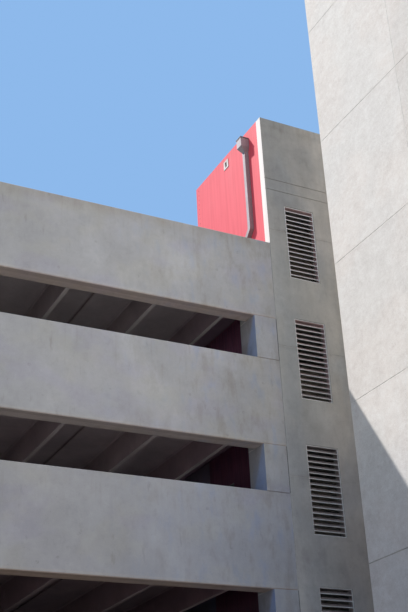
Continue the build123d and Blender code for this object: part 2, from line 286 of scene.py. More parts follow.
def cement_tones(finish, colour, on_band):
    """Bluish and yellowish clouds, as the cement varies, the tones of panels and piers, and painted shade on
    the lower levels.
    """
    blue = finish.noise(0.8, (1.5, 1, 0.8), detail=5, seed=16).fade(0.50, 0.66)
    colour = finish.tint(blue, colour, (0.98, 0.97, 1.03))
    yellow = finish.noise(0.75, (1.3, 1, 0.9), detail=5, seed=17).fade(0.50, 0.66)
    colour = finish.tint(yellow, colour, (1.02, 1.01, 0.965))

    # Each panel has its own tone, the piers are bluer, and the lower levels get painted shade
    bay = ((core_x - finish.x) / bay_length).whole()
    level = ((finish.z - band_low) / storey).whole()
    panel_tone = finish.tone(bay, level, finish.facing_y.whole())
    colour = finish.tint(panel_tone * 0.5, colour, (0.94, 0.945, 0.955))
    colour = finish.tint((1 - on_band) * 0.8, colour, (0.97, 0.99, 1.02))
    return finish.tint(finish.low_down(11.6, 5.6), colour, (0.76, 0.76, 0.785))


def parapet_rain(finish, colour):
    """Rain marks under the parapet's top edge."""
    soak = finish.noise(0.35, (1, 1, 2), detail=4, seed=11).fade(0.3, 0.65)
    under_top = finish.z.fade(parapet_top - 0.36, parapet_top - 0.05)
    colour = finish.tint(under_top * (0.3 + 0.6 * soak), colour, (0.86, 0.81, 0.74))
    drips = finish.noise(0.09, (1, 1, 10), detail=3, seed=12).fade(0.58, 0.74)
    drip_height = finish.z.fade(parapet_top - 1.0, parapet_top)
    return finish.tint(drip_height * drips * 0.5, colour, (0.84, 0.83, 0.82))


def band_marks(finish, colour, rise, on_band):
    """Runs down each band, painted light along its foot with a painted highlight on its lower arris, and
    marks of the formwork.
    """
    upright = 1 - finish.faces_down()
    runs = finish.noise(0.08, (1, 1, 14), detail=3, seed=13).fade(0.56, 0.74)
    colour = finish.tint(runs * rise.fade(0.7, 1.95) * on_band * 0.5, colour, (0.87, 0.84, 0.80))
    # Painted light along the foot of each band, brightest on the lower arris
    foot_light = rise.near(0.045, 0.035) * on_band * upright
    colour = finish.tint(foot_light * 0.8, colour, (1.10, 1.06, 1.0))
    arris_highlight = rise.fade(0.024, 0.016) * on_band * upright
    colour = finish.tint(arris_highlight, colour, (1.45, 1.37, 1.30))

    # Small dark marks and smears from the formwork
    marks = finish.dots(0.5, 0.045, seed=19) * finish.noise(0.03, detail=3, seed=20).fade(0.35, 0.6)
    colour = finish.tint(marks * upright * 0.6, colour, (0.74, 0.72, 0.71))
    smears = finish.noise(0.13, (1, 1, 3.5), detail=3, seed=101).fade(0.62, 0.76) * upright
    return finish.tint(smears, colour, (0.86, 0.85, 0.83))


def tones_by_core(finish, colour):
    """Painted light towards the core, with brown and blue patches, and painted bluish shade low down."""
    # Painted light towards the core
    colour = finish.tint(finish.x.fade(core_x - 6.5, core_x - 0.5), colour, (1.13, 1.14, 1.15))
    nearness = finish.x.fade(core_x - 5.5, core_x - 0.8)
    patches = finish.noise(0.4, (0.8, 1, 2.0), detail=5, roughness=0.6, seed=14)
    colour = finish.tint(nearness * patches.fade(0.5, 0.66), colour, (0.88, 0.85, 0.81))
    colour = finish.tint(nearness * patches.fade(0.48, 0.32), colour, (0.89, 0.95, 1.07))
    # Painted bluish shade low down near the core
    return finish.tint(nearness * finish.low_down(9.4, 7.4) * 0.9, colour, (0.93, 0.98, 1.09))


def pier_sides(finish, colour, rise, on_band):
    """Painted blue skylight on the side of a pier at its front and foot, and painted brown shade further back
    and higher up.
    """
    reveal = finish.faces_left() * (1 - on_band)
    skylight_reach = finish.y - front_y + (rise - storey) * 0.5
    # Painted skylight, reaching deeper towards the pier's foot
    painted_skylight = skylight_reach.fade(0.14, -0.02)
    colour = finish.tint(reveal * painted_skylight, colour, (0.88, 1.02, 1.38))
    return finish.tint(reveal * (1 - painted_skylight) * 0.9, colour, (0.93, 0.87, 0.87))


def band_undersides(finish, colour):
    """Undersides are pale brown, browner low down, darker along the face and lined by the boards."""
    under = finish.faces_down()
    colour = finish.tint(under, colour, (1.42, 1.19, 1.06))
    colour = finish.tint(under * finish.low_down(9.6, 6.2), colour, (1.13, 1.0, 0.86))
    from_face = (finish.y - front_y).at_most(rear_y - finish.y)
    colour = finish.tint(under * from_face.fade(0.19, 0.14), colour, (0.85, 0.84, 0.83))
    board_lines = finish.noise(0.022, (60, 1, 1), detail=3, seed=18).fade(0.5, 0.66)
    return finish.tint(under * board_lines * 0.6, colour, (0.82, 0.78, 0.76))


def inner_end_shade(finish, colour, on_band):
    """Painted shade on the inside of the right end's bands below the top deck, and more of it low down."""
    inner_end = finish.faces_left() * (finish.x > core_x - 2 * hair) * on_band * (finish.z < top_deck)
    colour = finish.tint(inner_end, colour, (0.50, 0.43, 0.55))
    return finish.tint(inner_end * finish.low_down(8.6, 6.4), colour, 0.5)


def facade_finish():
    """Bluish grey precast of the bands and the piers."""
    finish = Finish("weathered precast of the bands")
    colour, relief = cast_surface(finish, (0.424, 0.413, 0.413), (0.386, 0.377, 0.376))
    rise = (finish.z - band_low) % storey  # above the foot of this band, or of the next one below
    on_band = rise < band_height + 0.001
    colour = cement_tones(finish, colour, on_band)
    colour = parapet_rain(finish, colour)
    colour = band_marks(finish, colour, rise, on_band)
    colour = tones_by_core(finish, colour)
    colour = pier_sides(finish, colour, rise, on_band)
    colour = band_undersides(finish, colour)
    colour = inner_end_shade(finish, colour, on_band)
    roughness = 0.78 + 0.14 * finish.noise(0.4, detail=3, seed=15)
    return finish.finish(colour, roughness, relief, 0.0035)


def worn_top(finish, joint, seam, oil):
    """Upper faces of the decks: a plainer grey, with tyre marks along the lane, oil and chipped lines."""
    clouds = finish.noise(1.1, detail=4, seed=22).fade(0.35, 0.65)
    worn = finish.mix(clouds, (0.35, 0.345, 0.335), (0.42, 0.415, 0.40))
    wheel_tracks = (-2.3, -0.7, 0.8, 2.4)  # from the middle of the lane
    for track in wheel_tracks:
        rubber = finish.y.near(lane_middle + track, 0.55) * finish.noise(0.9, (3, 1, 1), detail=3, seed=23)
        worn = finish.tint(rubber * 0.6, worn, 0.72)
    worn = finish.tint(oil * 0.7, worn, (0.55, 0.53, 0.52))

    # White lines between the stalls
    stalls_per_bay = 4
    stall_width, stall_length = bay_length / stalls_per_bay, 5.2
    line_reach = 0.0625  # half of a painted line and its soft edge
    offset = (finish.x - core_x) % stall_width
    line = offset.near(stall_width / 2, line_reach).fade(0.02, 0.22)
    inside = abs(finish.y - lane_middle) > (rear_y - front_y) / 2 - wall_thickness - stall_length
    chipped = finish.noise(0.06, detail=4, seed=25).fade(0.3, 0.5)
    worn = finish.mix(line * inside * chipped * 0.85, worn, (0.74, 0.73, 0.69))
    worn = finish.tint(joint * 0.4, worn, 0.85)
    # Painted shade along the joints between the tees
    return finish.tint(seam * 0.5, worn, 0.6)


def deck_finish():
    """Grey broomed tops with worn bay lines, and brown undersides with painted shade and painted light."""
    finish = Finish("double tee concrete")
    colour, relief = cast_surface(finish, (0.635, 0.55, 0.555), (0.535, 0.462, 0.47), cloud=0.9)

    # Lime and dirt along the joints between the tees, and painted shade in them
    across = (core_x - joint_width - finish.x) % tee_width
    joint = across.near_ends(tee_width, 0.16)
    lime = joint * finish.noise(0.25, (1, 2.5, 1), detail=4, seed=21).fade(0.5, 0.7)
    colour = finish.mix(lime * 0.3, colour, (0.50, 0.47, 0.43))
    seam = across.near_ends(tee_width, 0.075)
    colour = finish.tint(seam * 0.9, colour, (0.55, 0.48, 0.47))

    # Stems: painted shade on their sides and painted light on their undersides
    low_rise = (finish.z - deck_low.z) % storey
    stem_foot_light = finish.faces_down() * low_rise.fade(0.03, 0.01)
    colour = finish.tint(abs(finish.facing_x).fade(0.5, 0.9) * 0.9, colour, (0.66, 0.61, 0.62))
    colour = finish.mix(stem_foot_light * 0.6, colour, (0.70, 0.64, 0.61))

    # Painted shade beside the core and on the lower levels
    by_core = finish.x.fade(core_x - 1.25, core_x - 0.9) * (1 - stem_foot_light)
    colour = finish.tint(by_core * 0.9, colour, (0.75, 0.60, 0.74))
    colour = finish.tint(finish.low_down(12.0, 10.3), colour, (0.98, 0.92, 0.94))
    colour = finish.tint(finish.low_down(9.0, 6.5), colour, (0.60, 0.50, 0.52))

    # The top, with drops of oil in the stalls and the marks of the broom
    top = finish.faces_up()
    in_stalls = abs(finish.y - lane_middle).fade(3.4, 4.5)
    oil = finish.noise(0.5, detail=3, seed=24).fade(0.62, 0.72) * in_stalls
    colour = finish.mix(top, colour, worn_top(finish, joint, seam, oil))
    brushed = finish.noise(0.006, (40, 1, 1), detail=1, seed=26)
    relief = relief + top * brushed * 0.5
    roughness = 0.86 - oil * 0.3
    return finish.finish(colour, roughness, relief, 0.003)


def core_tones(finish, colour, front):
    """The front's left part has painted warm light, turning browner to the right, and the levels differ."""
    left_part = front * finish.x.fade(core_x + 4.2, core_x + 2.8)
    # Painted warm light on the front's left part
    painted_warm_light = finish.x.fade(core_x + 0.3, core_x + 1.7) * finish.noise(1.1, (1, 1, 1.6), seed=31).fade(0.15, 0.5)
    colour = finish.tint(left_part * painted_warm_light, colour, (1.50, 1.44, 1.37))
    browner = left_part * finish.x.fade(core_x + 1.6, core_x + 2.2)
    colour = finish.tint(browner, colour, (0.885, 0.83, 0.76))

    # A little darker above the parapet, paler below it, and painted bluish shade low down
    above_parapet = finish.z.fade(parapet_top + 0.2, parapet_top + 1.6)
    colour = finish.tint(above_parapet, colour, (0.95, 0.96, 0.96))
    below_parapet = front * finish.z.fade(parapet_top + 1.2, parapet_top - 1.0)
    colour = finish.tint(below_parapet, colour, (1.14, 1.17, 1.17))
    low = finish.low_down(11.5, 7.0)
    colour = finish.tint(low, colour, (0.92, 0.925, 0.99))

    # Low down it is also browner to the right, with damp patches
    low_right = front * low * left_part * finish.x.fade(core_x + 0.5, core_x + 1.5)
    colour = finish.tint(low_right, colour, (0.88, 0.85, 0.835))
    damp = finish.noise(0.45, (1, 1, 1.7), detail=5, roughness=0.6, seed=39).fade(0.5, 0.68)
    return finish.tint(front * low * damp * 0.8, colour, (0.86, 0.84, 0.86))


def core_stains(finish, colour, front, boards):
    """Cool clouds, the lines of the boards, stains, and rain marks under the top edge."""
    cool = finish.noise(0.9, (1, 1, 2), detail=4, seed=36).fade(0.5, 0.66)
    colour = finish.tint(front * cool * 0.8, colour, (0.92, 0.95, 1.0))
    colour = finish.tint(front * boards * 0.25, colour, 0.94)
    stains = finish.noise(0.32, (1, 1, 1.8), detail=5, roughness=0.65, seed=37).fade(0.55, 0.72)
    colour = finish.tint(front * stains * 0.5, colour, (0.84, 0.83, 0.82))
    rain = finish.noise(0.13, (1, 1, 7), seed=33).fade(0.42, 0.65)
    top_rain = finish.z.fade(core_top - 0.8, core_top - 0.02) * rain
    return finish.tint(top_rain * 0.6, colour, (0.82, 0.80, 0.76))


def pour_marks(finish, colour, front):
    """The pour joints are smeared about, and filled with mortar inside their groove."""
    pour = (finish.z - pour_joint) % storey
    smear = pour.near_ends(storey, 0.12) * finish.noise(0.3, seed=38).fade(0.35, 0.6)
    colour = finish.tint(front * smear * 0.55, colour, (0.82, 0.80, 0.79))
    in_groove = (finish.y > front_y + 0.003) * (finish.y < front_y + 0.01)
    filled = pour.near_ends(storey, 0.010) * in_groove
    return finish.mix(filled * 0.75, colour, (0.62, 0.61, 0.59))


def corner_strip(finish, colour):
    """The corner strip beside the red paint is pale, with a few grey marks."""
    strip = (finish.facing_x < -0.5) * (finish.x < core_x + hair) * (finish.z > parapet_top - hair)
    chalky = finish.noise(0.3, (1, 1, 4), seed=34).fade(0.3, 0.7)
    colour = finish.mix(strip, colour, finish.mix(chalky, (0.85, 0.79, 0.765), (0.91, 0.855, 0.835)))
    marks = finish.dots(0.9, 0.03, seed=35) * strip
    return finish.tint(marks * 0.5, colour, (0.6, 0.62, 0.66))


def core_finish():
    """Warm grey cast walls of the stair core, with soft stains along their joints."""
    finish = Finish("cast walls of the core")
    pale, dark = (0.420, 0.404, 0.384), (0.380, 0.367, 0.349)
    colour, relief = cast_surface(finish, pale, dark, cloud=1.5, contrast=1.3)
    front = finish.faces_front()
    boards = finish.noise(0.09, (1, 1, 24), detail=2, seed=32).fade(0.4, 0.6)
    colour = core_tones(finish, colour, front)
    colour = core_stains(finish, colour, front, boards)
    colour = pour_marks(finish, colour, front)
    colour = corner_strip(finish, colour)
    colour = darker_undersides(finish, colour)
    return finish.finish(colour, 0.8 + 0.12 * boards, relief, 0.0035)


def red_finish():
    """Red paint on the outer face of the core's side wall, and bare concrete on its other faces."""
    finish = Finish("red masonry paint")
    bare, relief = cast_surface(finish, *bare_concrete)
    painted = finish.faces_left() * (finish.x < core_x + hair)
    brush = finish.noise(0.07, (1, 1, 24), detail=3, seed=41)
    clouds = finish.noise(0.9, (1, 1, 1.8), detail=3, seed=42)
    strokes = (brush * 0.6 + clouds * 0.4).fade(0.36, 0.62)
    paint = finish.mix(strokes, (0.765, 0.075, 0.104), (0.83, 0.098, 0.133))

    # Below the top deck the paint is darkened by painted shade, more so on the lower levels, and grimy
    painted_shade_inside = finish.z.fade(top_deck - 0.03, top_deck - 0.12)
    paint = finish.tint(painted_shade_inside, paint, (0.43, 1.45, 1.80))
    paint = finish.tint(finish.low_down(11.4, 9.0), paint, (0.38, 0.25, 0.31))
    paint = finish.tint(finish.low_down(8.6, 6.4), paint, (0.62, 0.45, 0.55))
    grime = finish.noise(0.06, (1, 1, 12), detail=3, seed=45).fade(0.4, 0.65)
    paint = finish.tint(painted_shade_inside * grime * 0.7, paint, (0.55, 0.6, 0.7))

    # Above the top deck the sun has chalked it, with rain marks under the top edge
    powder = finish.noise(0.35, (1, 1, 5), detail=4, seed=43).fade(0.5, 0.75)
    chalk = finish.z.fade(top_deck, core_top) * powder
    paint = finish.mix(chalk * 0.05, paint, (0.85, 0.40, 0.42))
    rain = finish.noise(0.1, (1, 1, 8), seed=44).fade(0.4, 0.62)
    below_edge = finish.z.fade(core_top - 0.5, core_top) * rain
    paint = finish.tint(below_edge * 0.3, paint, (0.75, 0.70, 0.70))
    colour = finish.mix(painted, bare, paint)
    roughness = 0.86 - painted * (0.30 - 0.08 * clouds)
    return finish.finish(colour, roughness, relief, 0.002, **{"Specular IOR Level": 0.42})


def tower_finish():
    """Cream sandblasted panels of the lift tower and the bridges."""
    finish = Finish("cream blasted panels")
    pale, dark = (0.770, 0.720, 0.686), (0.694, 0.645, 0.614)
    clouds = finish.noise(0.8, (1, 1, 1.3), detail=5, roughness=0.6, seed=51).fade(0.34, 0.66)
    colour = finish.mix(clouds, dark, pale)
    grey = finish.noise(1.7, detail=3, seed=52).fade(0.42, 0.62)
    colour = finish.mix(grey * 0.5, colour, (0.69, 0.675, 0.66))
    mottles = finish.noise(0.16, (1.6, 1.8, 0.9), detail=5, roughness=0.7, seed=58)
    colour = finish.tint(mottles.fade(0.5, 0.68) * 0.6, colour, (0.91, 0.90, 0.895))
    colour = finish.mix(mottles.fade(0.5, 0.32) * 0.35, colour, (0.84, 0.82, 0.80))
    pale_runs = finish.noise(0.14, (1.5, 1.6, 2.5), detail=4, seed=53).fade(0.5, 0.7)
    colour = finish.mix(pale_runs * 0.22, colour, (0.84, 0.82, 0.80))
    dark_runs = finish.noise(0.16, (1.6, 1.8, 1.6), detail=5, roughness=0.65, seed=54).fade(0.55, 0.75)
    colour = finish.tint(dark_runs * 0.5, colour, (0.87, 0.86, 0.85))
    speckle = finish.noise(0.07, detail=4, roughness=0.7, seed=59)
    colour = finish.tint(speckle.fade(0.52, 0.66) * 0.7, colour, (0.93, 0.92, 0.915))
    colour = finish.mix(speckle.fade(0.48, 0.34) * 0.3, colour, (0.87, 0.85, 0.83))
    stones = finish.noise(0.02, detail=3, roughness=0.7, seed=55)
    colour = finish.tint(stones.fade(0.5, 0.68) * 0.5, colour, (0.80, 0.78, 0.76))
    colour = finish.mix(stones.fade(0.42, 0.3) * 0.35, colour, (0.88, 0.87, 0.85))

    # Each panel has its own tone, the front half is a little darker, and the foot has painted bluish shade
    panel_width = (tower_high.y - tower_low.y) / 2
    panel = ((finish.y - tower_low.y) / panel_width).whole()
    level = (finish.z / tower_joint).whole()
    panel_tone = finish.tone(panel, level, finish.facing_x.whole())
    colour = finish.tint(panel_tone * 0.6, colour, (0.945, 0.94, 0.935))
    colour = finish.tint(finish.low_down(8.8, 5.5), colour, (0.84, 0.85, 0.91))
    near_panel = finish.y < (tower_low.y + tower_high.y) / 2
    colour = finish.tint(near_panel * 0.9, colour, (0.935, 0.925, 0.92))

    # Grime along the level joints
    rise = finish.z % tower_joint
    seam = rise.near_ends(tower_joint, 0.1) * finish.noise(0.3, seed=57).fade(0.4, 0.65)
    colour = finish.tint(seam * 0.3, colour, (0.87, 0.86, 0.85))
    colour = darker_undersides(finish, colour)
    relief = stones * 0.5 + finish.noise(0.3, detail=3, seed=56) * 0.5
    return finish.finish(colour, 0.85 + 0.1 * clouds, relief, 0.004)


def roof_finish():
    """Dark roofing felt in lapped strips on top, and cast concrete below."""
    finish = Finish("roofing felt")
    bare, relief = cast_surface(finish, *bare_concrete)
    top = finish.faces_up()
    clouds = finish.noise(0.9, detail=4, seed=61).fade(0.35, 0.65)
    felt = finish.mix(clouds, (0.085, 0.085, 0.09), (0.14, 0.14, 0.14))
    grit = finish.noise(0.004, detail=1, seed=62)
    felt = finish.mix(grit.fade(0.6, 0.75) * 0.5, felt, (0.30, 0.30, 0.30))
    felt_width = 1.0
    lap = (finish.x % felt_width).near(felt_width / 2, 0.02)
    felt = finish.tint(lap * 0.7, felt, 0.55)
    colour = finish.mix(top, bare, felt)
    return finish.finish(colour, 0.9 - lap * 0.3, relief + top * (grit + lap), 0.004)


def louvre_finish():
    """Dull aluminium, with dust on the upper side of the blades and painted shade behind their lips, less of
    it higher up.
    """
    finish = Finish("dull aluminium")
    clouds = finish.noise(0.25, (1, 1, 1), detail=4, seed=71)
    colour = finish.mix(clouds.fade(0.35, 0.65), (0.77, 0.76, 0.755), (0.85, 0.845, 0.84))
    dust = finish.facing_z.fade(0.1, 0.9) * finish.noise(0.05, (3, 1, 1), detail=4, seed=72).fade(0.3, 0.6)
    colour = finish.mix(dust * 0.7, colour, (0.16, 0.14, 0.13))
    # Painted shade in the cavity behind each lip, lifted by painted light higher up
    behind_lip = finish.y.fade(louvre_low.y + 0.006, louvre_low.y + 0.012)
    colour = finish.tint(behind_lip * 0.85, colour, (0.50, 0.40, 0.40))
    painted_light_higher_up = behind_lip * finish.z.fade(10.2, 11.4)  # higher up
    colour = finish.tint(painted_light_higher_up, colour, (1.65, 1.45, 1.45))
    runs = finish.noise(0.02, (1, 1, 12), detail=3, seed=73).fade(0.5, 0.7)
    colour = finish.tint(runs * 0.4, colour, 0.78)
    metallic = 0.55 - dust * 0.5
    rolled = finish.noise(0.004, (30, 1, 1), detail=2, seed=74)
    return finish.finish(colour, 0.46 + 0.3 * dust + 0.1 * clouds, rolled, 0.0005, Metallic=metallic)


def steel_finish():
    """Galvanised sheet with faint spangle, dulled by weather, and a dark rim on the rainwater head."""
    finish = Finish("galvanised sheet")
    inputs = {"Vector": finish.stretched(0.018, seed=81), "Scale": 1}
    spangle = finish.node("ShaderNodeTexVoronoi", None, inputs, output=1)
    flake = finish.node("ShaderNodeSeparateColor", None, {0: spangle})
    # The grey has a pink cast, a painted reflection of the red wall
    colour = finish.mix(flake, (0.30, 0.258, 0.264), (0.37, 0.328, 0.334))
    dull = finish.noise(0.2, (1, 1, 3), detail=4, seed=82).fade(0.35, 0.65)
    colour = finish.mix(dull * 0.5, colour, (0.31, 0.278, 0.284))
    runs = finish.noise(0.03, (1, 1, 14), detail=3, seed=83).fade(0.5, 0.7)
    colour = finish.tint(runs * 0.5, colour, (0.80, 0.76, 0.72))

    # The head's rim is dark, and the scupper's plate is whitened by lime
    rim_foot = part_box("rainwater_head")[1].z - 0.024
    rim = finish.z.fade(rim_foot - 0.002, rim_foot + 0.002)
    colour = finish.tint(rim * 0.8, colour, (0.36, 0.32, 0.31))
    plate = finish.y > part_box("roof_scupper")[0].y - 0.01
    colour = finish.mix(plate * 0.6, colour, (0.62, 0.58, 0.54))
    metallic = 0.9 - dull * 0.15 - plate * 0.4
    return finish.finish(colour, 0.54 + 0.1 * dull, flake, 0.0003, Metallic=metallic)


def sealant_finish(name, colour, seed, between_bands=None, low_shade=None):
    """Rubbery joint sealant, dusty and a little cracked. It can be darker between the bands, and take painted
    shade low down.
    """
    finish = Finish(name)
    dust = finish.noise(0.15, (1, 1, 1), detail=4, seed=seed).fade(0.35, 0.65)
    dusty = tuple(1.35 * channel for channel in colour)
    shade = finish.mix(dust, colour, dusty)
    if between_bands:
        in_gap = (finish.z - band_low) % storey > band_height
        shade = finish.tint(in_gap * 0.9, shade, between_bands)
    if low_shade:
        # Painted shade low down
        shade = finish.tint(finish.low_down(9.0, 5.0), shade, low_shade)
    cracks = finish.noise(0.01, (1, 1, 1), detail=3, seed=seed + 1)
    shade = finish.tint(cracks.fade(0.55, 0.7) * 0.6, shade, 0.7)
    return finish.finish(shade, 0.6 + 0.25 * dust, cracks, 0.001)


def link(piece):
    bpy.context.scene.collection.objects.link(piece)
    return piece


def prism(outline, start, along):
    """A closed bar: an outline of points, set at a start point and carried along a vector."""
    shape = bmesh.new()
    low = [shape.verts.new(Vector(point) + Vector(start)) for point in outline]
    high = [shape.verts.new(corner.co + Vector(along)) for corner in low]
    count = len(low)
    shape.faces.new(low)
    shape.faces.new(list(reversed(high)))
    for number in range(count):
        after = (number + 1) % count
        shape.faces.new((low[number], high[number], high[after], low[after]))
    bmesh.ops.recalc_face_normals(shape, faces=shape.faces)
    mesh = bpy.data.meshes.new("bar")
    shape.to_mesh(mesh)
    shape.free()
    return mesh


def repeat(name, mesh, rows, material):
    """Repeat a mesh in rows of rows with Geometry Nodes, and keep the result as one plain piece."""
    tree = bpy.data.node_groups.new(name + " rows", "GeometryNodeTree")
    tree.interface.new_socket("Shape", in_out="INPUT", socket_type="NodeSocketGeometry")
    tree.interface.new_socket("Rows", in_out="OUTPUT", socket_type="NodeSocketGeometry")
    values = {}
    for number, (count, step) in enumerate(rows, start=1):
        for title, kind, value in (("Count", "NodeSocketInt", count), ("Step", "NodeSocketVector", step)):
            socket = tree.interface.new_socket(f"{title} {number}", in_out="INPUT", socket_type=kind)
            values[socket.identifier] = value
    graph = Graph(tree)
    given = tree.nodes.new("NodeGroupInput")
    shape = Value(graph, given.outputs[0])
    for number in range(len(rows)):
        count, step = (Value(graph, given.outputs[1 + 2 * number + part]) for part in range(2))
        spots = graph.node("GeometryNodeMeshLine", None, {"Count": count, "Offset": step})
        shape = graph.node("GeometryNodeInstanceOnPoints", None, {"Points": spots, "Instance": shape})
    shape = graph.node("GeometryNodeRealizeInstances", None, {"Geometry": shape})
    shape = graph.node("GeometryNodeSetMaterial", None, {"Geometry": shape, "Material": material})
    graph.node("NodeGroupOutput", None, {0: shape})

    piece = link(bpy.data.objects.new(name, mesh))
    rows_modifier = piece.modifiers.new("rows", "NODES")
    rows_modifier.node_group = tree
    for identifier, value in values.items():
        rows_modifier[identifier] = value
    depsgraph = bpy.context.evaluated_depsgraph_get()
    plain = bpy.data.meshes.new_from_object(piece.evaluated_get(depsgraph), depsgraph=depsgraph)
    piece.modifiers.remove(rows_modifier)
    piece.data = plain
    plain.name = name
    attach(piece, "root")
    return piece


# Sealant in the joints
bead_sag = 0.004  # how far the middle of a bead lies behind its edges
bead_depth = 0.014
bead_facets = 4
once = [(1, (0, 0, 0))]


def bead_outline(width, depth, across, outward):
    """Section of a bead: a hollow outer face between two joint faces, and a flat back."""
    across, outward = Vector(across), Vector(outward)
    points = [across * -width / 2 - outward * depth]
    for step in range(bead_facets + 1):
        side = 2 * step / bead_facets - 1
        points.append(across * side * width / 2 - outward * bead_sag * (1 - side * side))
    points.append(across * width / 2 - outward * depth)
    return points


def deck_sealant(material):
    """Beads between the double tees of every deck, and round the decks' edges."""
    set_back = 0.005
    outline = bead_outline(joint_width, bead_depth, (1, 0, 0), (0, 0, 1))
    top = deck_top - set_back
    core_joint = core_x - joint_width / 2
    mesh = prism(outline, (core_joint - tee_width, deck_low.y, top), (0, deck_high.y - deck_low.y, 0))
    every_level = (storeys, (0, 0, storey))
    rows = [(tees_per_bay - 1, (-tee_width, 0, 0)), (bay_count, (-bay_length, 0, 0)), every_level]
    repeat("tee_joint_sealant", mesh, rows, material)

    # Between the bays, from pier to pier
    low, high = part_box("front_pier_2")[1].y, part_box("rear_pier_2")[0].y
    mesh = prism(outline, (core_joint - bay_length, low, top), (0, high - low, 0))
    rows = [(bay_count - 1, (-bay_length, 0, 0)), every_level]
    repeat("bay_joint_sealant", mesh, rows, material)

    # Along the core and the right end
    low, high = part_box("front_pier_1")[1].y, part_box("rear_pier_1")[0].y
    mesh = prism(outline, (core_joint, low, top), (0, high - low, 0))
    repeat("end_joint_sealant", mesh, [every_level], material)

    # Along the front and the rear, from pier to pier
    for side, web, edge in (("front", front_y + wall_thickness, deck_low.y),
                            ("rear", rear_y - wall_thickness, deck_high.y)):
        edge_outline = bead_outline(abs(edge - web), bead_depth, (0, 1, 0), (0, 0, 1))
        for bay in range(1, bay_count + 1):
            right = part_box(f"{side}_pier_{bay}")[0].x
            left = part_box(f"{side}_pier_{bay + 1}")[1].x
            mesh = prism(edge_outline, (left, (edge + web) / 2, top), (right - left, 0, 0))
            repeat(f"{side}_edge_sealant_{bay}", mesh, [every_level], material)


def panel_sealant(material):
    """Upright beads between the panels of the bands, and between the bands and the core."""
    set_back = 0.006
    for side, face, outward in (("front", front_y, -1), ("rear", rear_y, 1)):
        outline = bead_outline(joint_width, bead_depth, (1, 0, 0), (0, outward, 0))
        start = (core_x - bay_length - joint_width / 2, face - outward * set_back, band_low)
        mesh = prism(outline, start, (0, 0, band_height))
        rows = [(bay_count - 1, (-bay_length, 0, 0)), (storeys, (0, 0, storey))]
        repeat(f"{side}_panel_sealant", mesh, rows, material)
    outline = bead_outline(joint_width, bead_depth, (1, 0, 0), (0, -1, 0))
    mesh = prism(outline, (core_x - joint_width / 2, front_y + set_back, 0), (0, 0, parapet_top))
    repeat("core_joint_sealant", mesh, once, material)


def tower_sealant(material):
    """Pale beads in the level and upright joints of the tower's four faces."""
    width, depth, set_back = 0.022, 0.008, 0.001
    low, high = tower_low.z, tower_high.z
    joints = int((high - hair - low) / tower_joint)  # none at the very top
    left, right = tower_low.x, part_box("tower_right_wall")[1].x
    front, rear = tower_low.y, tower_high.y
    inner_left, inner_right = left + wall_thickness, right - wall_thickness
    door_low, door_high = (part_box("tower_rear_lintels")[end].x for end in range(2))

    # Level beads, which stop at the doorways of the rear
    level_rows = [(joints, (0, 0, tower_joint))]
    for side, outward, face in (("left", -1, left + set_back), ("right", 1, right - set_back)):
        outline = bead_outline(width, depth, (0, 0, 1), (outward, 0, 0))
        mesh = prism(outline, (face, front, low + tower_joint), (0, rear - front, 0))
        repeat(f"tower_{side}_sealant", mesh, level_rows, material)
    for side, outward, face, spans in (
            ("front", -1, front + set_back, ((inner_left, inner_right),)),
            ("rear", 1, rear - set_back, ((inner_left, door_low), (door_high, inner_right)))):
        outline = bead_outline(width, depth, (0, 0, 1), (0, outward, 0))
        for number, (start, end) in enumerate(spans, start=1):
            mesh = prism(outline, (start, face, low + tower_joint), (end - start, 0, 0))
            repeat(f"tower_{side}_sealant_{number}", mesh, level_rows, material)

    # Upright beads, one in the middle of each face but the rear
    middle_x, middle_y = (left + right) / 2, (front + rear) / 2
    for side, across, outward, x, y in (
            ("left", (0, 1, 0), (-1, 0, 0), left + set_back, middle_y),
            ("right", (0, 1, 0), (1, 0, 0), right - set_back, middle_y),
            ("front", (1, 0, 0), (0, -1, 0), middle_x, front + set_back)):
        outline = bead_outline(width, depth, across, outward)
        mesh = prism(outline, (x, y, low), (0, 0, high - low))
        repeat(f"tower_{side}_upright_sealant", mesh, once, material)


def dome(radius, height, sides, direction):
    """A low round cap: a ring on the wall, a smaller ring and a flat middle, facing a direction."""
    shape = bmesh.new()
    turn = Vector((0, 0, 1)).rotation_difference(Vector(direction)).to_matrix()
    profile = ((1.0, 0.0), (0.92, 0.55), (0.55, 1.0))  # each ring's share of the radius and of the height
    rings = []
    for share, rise in profile:
        ring = []
        for side in range(sides):
            angle = 2 * math.pi * side / sides
            along, aside = math.cos(angle) * radius * share, math.sin(angle) * radius * share
            ring.append(shape.verts.new(turn @ Vector((along, aside, rise * height))))
        rings.append(ring)
    for low, high in zip(rings, rings[1:]):
        for side in range(sides):
            after = (side + 1) % sides
            shape.faces.new((low[side], low[after], high[after], high[side]))
    shape.faces.new(rings[-1])
    shape.faces.new(list(reversed(rings[0])))
    bmesh.ops.recalc_face_normals(shape, faces=shape.faces)
    mesh = bpy.data.meshes.new("cap")
    shape.to_mesh(mesh)
    shape.free()
    return mesh


def moved(mesh, place):
    mesh.transform(Matrix.Translation(place))
    return mesh


def wall_fixings(material):
    """A row of small caps down the far edge of the red wall."""
    radius, height, sides = 0.016, 0.006, 10
    pitch = 0.15
    inset = 0.14  # from the wall's far edge
    drop = 0.12  # from the wall's top to the first cap
    tail = 0.3  # how far the row goes on below the parapet's top
    count = int((core_top - parapet_top + tail) / pitch)
    mesh = moved(dome(radius, height, sides, (-1, 0, 0)), (core_x, core_rear_y - inset, core_top - drop))
    repeat("red_wall_fixings", mesh, [(count, (0, 0, -pitch))], material)


